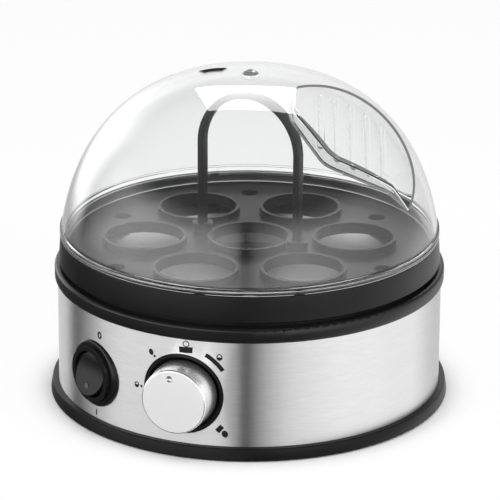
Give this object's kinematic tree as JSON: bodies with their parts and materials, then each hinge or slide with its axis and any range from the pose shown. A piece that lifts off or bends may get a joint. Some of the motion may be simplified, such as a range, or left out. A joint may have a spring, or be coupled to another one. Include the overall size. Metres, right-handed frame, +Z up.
{
  "type": "electric egg cooker",
  "caption": "Round electric egg cooker with a steel-clad heated base, a lift-out seat tray with an arched handle, a turning dial, a rocker switch and a clear ribbed-pocket dome lid.",
  "frame": {"origin": "on the axis of the round housing, at the level that the rubber feet stand on", "axes": "+Z up along the axis of the housing, the dial and switch side faces -Y, +X to the right of someone who looks at the front"},
  "size_m": [0.1758, 0.1884, 0.1469],
  "materials": {
    "black_plastic": "satin moulded black",
    "tray_plastic": "satin moulded black",
    "foot_rubber": "matt moulded rubber",
    "gland_rubber": "matt moulded rubber",
    "seal_silicone": "soft silicone",
    "band_steel": "brushed around the band",
    "dish_steel": "pressed and satin polished",
    "plate_aluminium": "as cast and faced",
    "element_sheath": "heat-dulled sheath",
    "bracket_steel": "plain plated steel",
    "zinc_screws": "zinc plated",
    "dark_moulding": "moulded phenolic",
    "pale_moulding": "moulded nylon",
    "board_laminate": "coated laminate",
    "knob_silver": "silver lacquer",
    "rocker_gloss": "polished black",
    "lens_amber": "clear tinted lens, unlit",
    "clear_plastic": "clear moulded, polished"
  },
  "bodies": {
    "base": {"base_pan": "black_plastic", "rubber_feet": "foot_rubber", "base_screws": "zinc_screws", "steel_band": "band_steel", "top_collar": "black_plastic", "dish_seal": "seal_silicone", "water_dish": "dish_steel", "heating_plate": "plate_aluminium", "heating_element": "element_sheath", "element_terminals": "zinc_screws", "plate_brackets": "bracket_steel", "bracket_screws": "zinc_screws", "safety_cutout": "dark_moulding", "thermal_fuse": "bracket_steel", "dial_recess": "black_plastic", "hardness_control": "dark_moulding", "bush_nut": "zinc_screws", "switch_bezel": "black_plastic", "switch_housing": "dark_moulding", "cord_gland": "gland_rubber", "cord_clamp": "dark_moulding", "clamp_screws": "zinc_screws", "terminal_block": "pale_moulding", "sound_board": "board_laminate", "sound_buzzer": "dark_moulding", "board_screws": "zinc_screws"},
    "tray": {"egg_tray": "tray_plastic", "tray_handle": "tray_plastic"},
    "lid": {"lid_dome": "clear_plastic"},
    "dial": {"knob_cap": "knob_silver", "knob_hub_ring": "bracket_steel", "control_shaft": "bracket_steel"},
    "rocker": {"rocker_button": "rocker_gloss", "rocker_lens": "lens_amber"}
  },
  "joints": [
    {"name": "tray_lift", "type": "slide", "parent": "base", "child": "tray", "axis": [0, 0, 1], "range_m": [0, 0.12]},
    {"name": "lid_lift", "type": "slide", "parent": "tray", "child": "lid", "axis": [0, 0, 1], "range_m": [0, 0.12]},
    {"name": "dial_turn", "type": "hinge", "parent": "base", "child": "dial", "pos_m": [0, 0, 0.028], "axis": [-0.3338, -0.9426, 0], "range_deg": [-140, 140]},
    {"name": "rocker_press", "type": "hinge", "parent": "base", "child": "rocker", "pos_m": [-0.06718, -0.05305, 0.0262], "axis": [0.6198, -0.7848, 0], "range_deg": [0, 30]}
  ]
}
